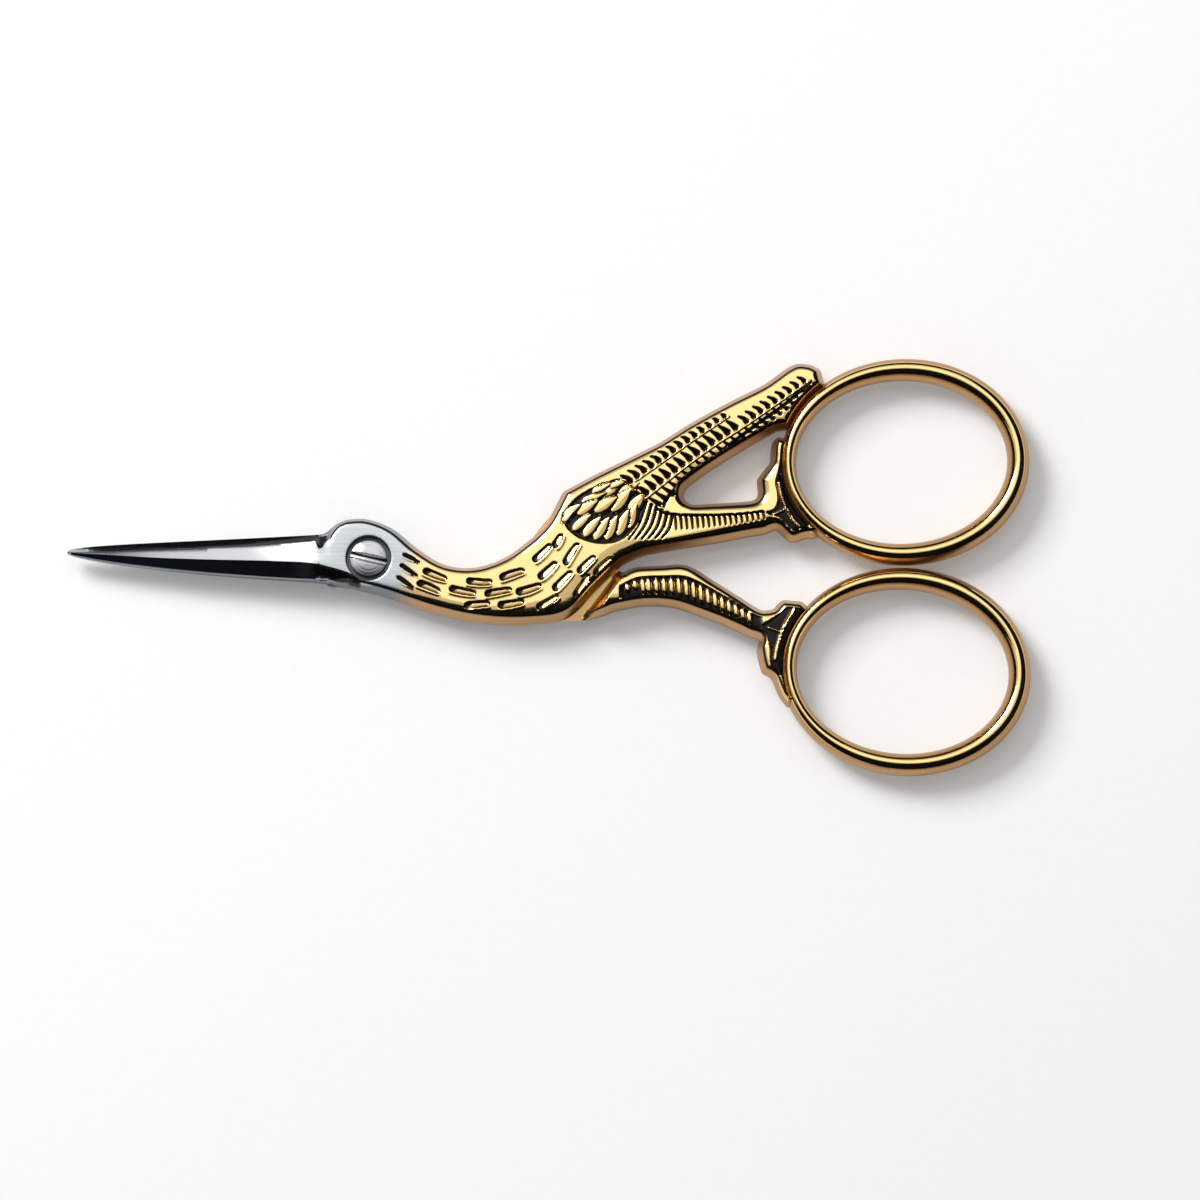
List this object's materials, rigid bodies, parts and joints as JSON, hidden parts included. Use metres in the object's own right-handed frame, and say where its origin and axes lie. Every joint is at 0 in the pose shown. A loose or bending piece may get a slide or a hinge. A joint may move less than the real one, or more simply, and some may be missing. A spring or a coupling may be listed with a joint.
{
  "type": "stork embroidery scissors",
  "caption": "Small gilt embroidery scissors shaped as a stork, with needle-point blades as the beak, a slotted pivot screw as the eye, and oval finger rings",
  "frame": {"origin": "On the pivot axis, at the flat back face of the boss on which the scissors lie", "axes": "+X from the pivot to the finger rings (the blades point to -X), +Y across the scissors to the upper ring, +Z out of the front face along the pivot axis"},
  "size_m": [0.0901, 0.0396, 0.004],
  "materials": {
    "front_gilt_steel": "polished gold plate on the handle, brushed nickel-bright steel on the blade and boss",
    "back_gilt_steel": "polished gold plate on the handle, brushed nickel-bright steel on the blade and boss",
    "screw_steel": "turned and polished"
  },
  "bodies": {
    "back": {"back_half": "back_gilt_steel", "pivot_screw": "screw_steel"},
    "front": {"front_half": "front_gilt_steel"}
  },
  "joints": [
    {"name": "pivot", "type": "hinge", "parent": "back", "child": "front", "pos_m": [0, 0, 0], "axis": [0, 0, 1], "range_deg": [0, 75]}
  ]
}
